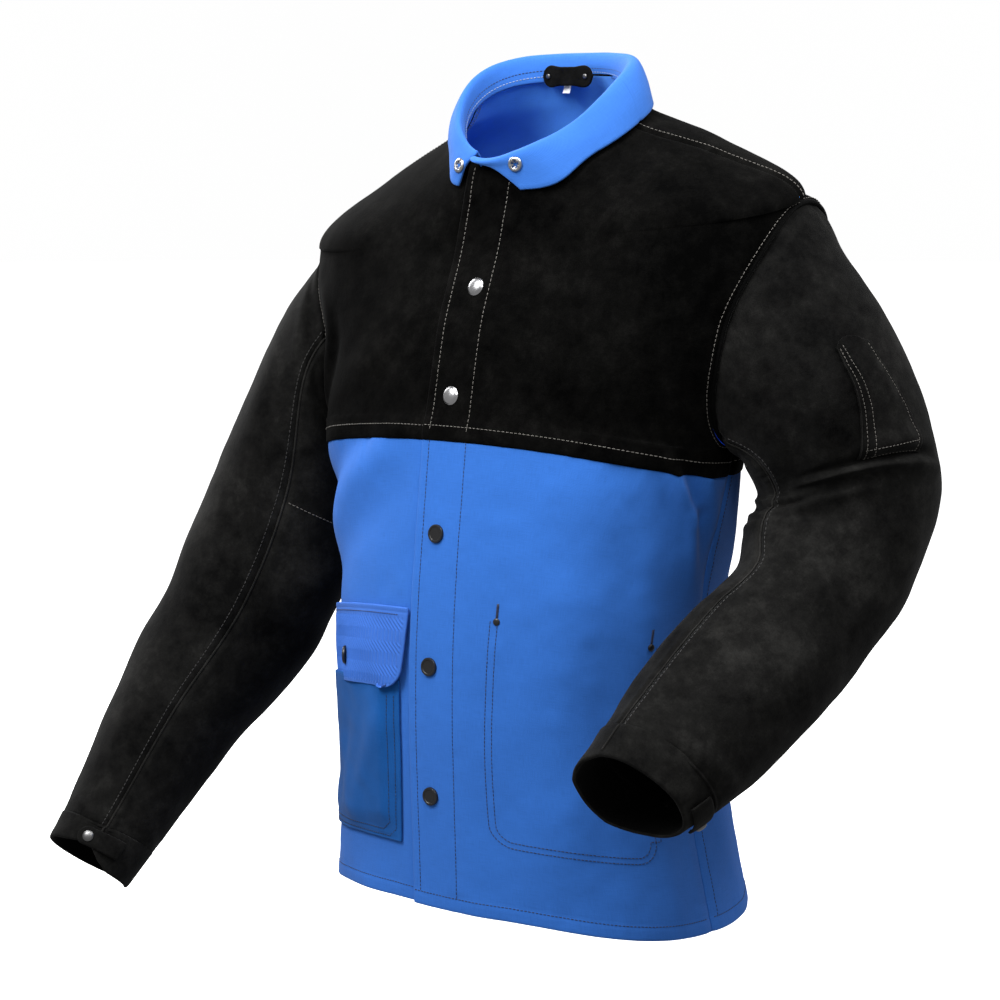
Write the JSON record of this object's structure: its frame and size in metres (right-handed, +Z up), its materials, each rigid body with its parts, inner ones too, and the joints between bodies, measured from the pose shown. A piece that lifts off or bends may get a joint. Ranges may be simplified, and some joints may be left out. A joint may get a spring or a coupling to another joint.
{
  "type": "welding jacket",
  "caption": "Leather and cotton welding jacket on an invisible form: suede yoke and sleeves, blue cotton body and collar, snap front, one sleeve bent.",
  "frame": {"origin": "middle of the neck opening at the level of the back neck seam", "axes": "+Z up out of the neck, -Y the wearer's front, +X the wearer's left"},
  "size_m": [0.761, 0.3906, 0.7491],
  "materials": {
    "black_suede": "split cowhide suede, black, short nap",
    "blue_cotton": "heavy twill cotton, royal blue",
    "collar_cotton": "heavy twill cotton, royal blue, soft",
    "pocket_cotton": "heavy cotton, slightly brushed",
    "flap_cotton": "heavy twill cotton, ribbed",
    "bright_snap": "nickel, domed",
    "dark_snap": "black lacquer, satin",
    "white_tape": "woven tape, blank"
  },
  "bodies": {
    "jacket": {"back_panel": "blue_cotton", "back_yoke": "black_suede", "collar": "collar_cotton", "collar_ring_right": "bright_snap", "flap_snap_stud": "bright_snap", "hanger_loop": "black_suede", "left_cuff": "black_suede", "left_side_panel": "blue_cotton", "left_side_yoke": "black_suede", "left_sleeve_outer": "black_suede", "left_sleeve_under": "black_suede", "loop_rivet_1": "dark_snap", "loop_rivet_2": "dark_snap", "pen_pocket": "black_suede", "right_cuff": "black_suede", "right_front_panel": "blue_cotton", "right_front_yoke": "black_suede", "right_pocket": "pocket_cotton", "right_sleeve_outer": "black_suede", "right_sleeve_under": "black_suede", "size_tab": "white_tape", "snap_stud_1": "bright_snap", "snap_stud_2": "bright_snap", "snap_stud_3": "bright_snap", "snap_stud_4": "bright_snap", "snap_stud_5": "bright_snap"},
    "left_front": {"left_front_yoke": "black_suede", "left_front_panel": "blue_cotton", "yoke_placket": "black_suede", "panel_placket": "blue_cotton", "snap_cap_1": "bright_snap", "snap_cap_2": "bright_snap", "snap_cap_3": "dark_snap", "snap_cap_4": "dark_snap", "snap_cap_5": "dark_snap", "inside_pocket": "pocket_cotton", "pocket_rivet_1": "dark_snap", "pocket_rivet_2": "dark_snap", "collar_left": "collar_cotton", "collar_ring_left": "bright_snap"},
    "flap": {"pocket_flap": "flap_cotton", "flap_snap_cap": "dark_snap"},
    "right_tab": {"right_cuff_tab": "black_suede", "right_cuff_snap": "bright_snap"},
    "left_tab": {"left_cuff_tab": "black_suede", "left_cuff_snap": "bright_snap"}
  },
  "joints": [
    {"name": "left_front_swing", "type": "hinge", "parent": "jacket", "child": "left_front", "pos_m": [0.2053, -0.0658, -0.322], "axis": [0.0432, -0.027, 0.9987], "range_deg": [0, 38]},
    {"name": "pocket_flap_lift", "type": "hinge", "parent": "jacket", "child": "flap", "pos_m": [-0.1098, -0.1463, -0.4565], "axis": [-0.8794, 0.4619, -0.1155], "range_deg": [0, 100]},
    {"name": "right_cuff_tab_lift", "type": "hinge", "parent": "jacket", "child": "right_tab", "pos_m": [-0.31093, -0.22036, -0.69262], "axis": [0.261, 0.5645, 0.7831], "range_deg": [0, 80]},
    {"name": "left_cuff_tab_lift", "type": "hinge", "parent": "jacket", "child": "left_tab", "pos_m": [0.29269, -0.18155, -0.57665], "axis": [-0.3615, -0.7992, -0.4802], "range_deg": [0, 80]}
  ]
}
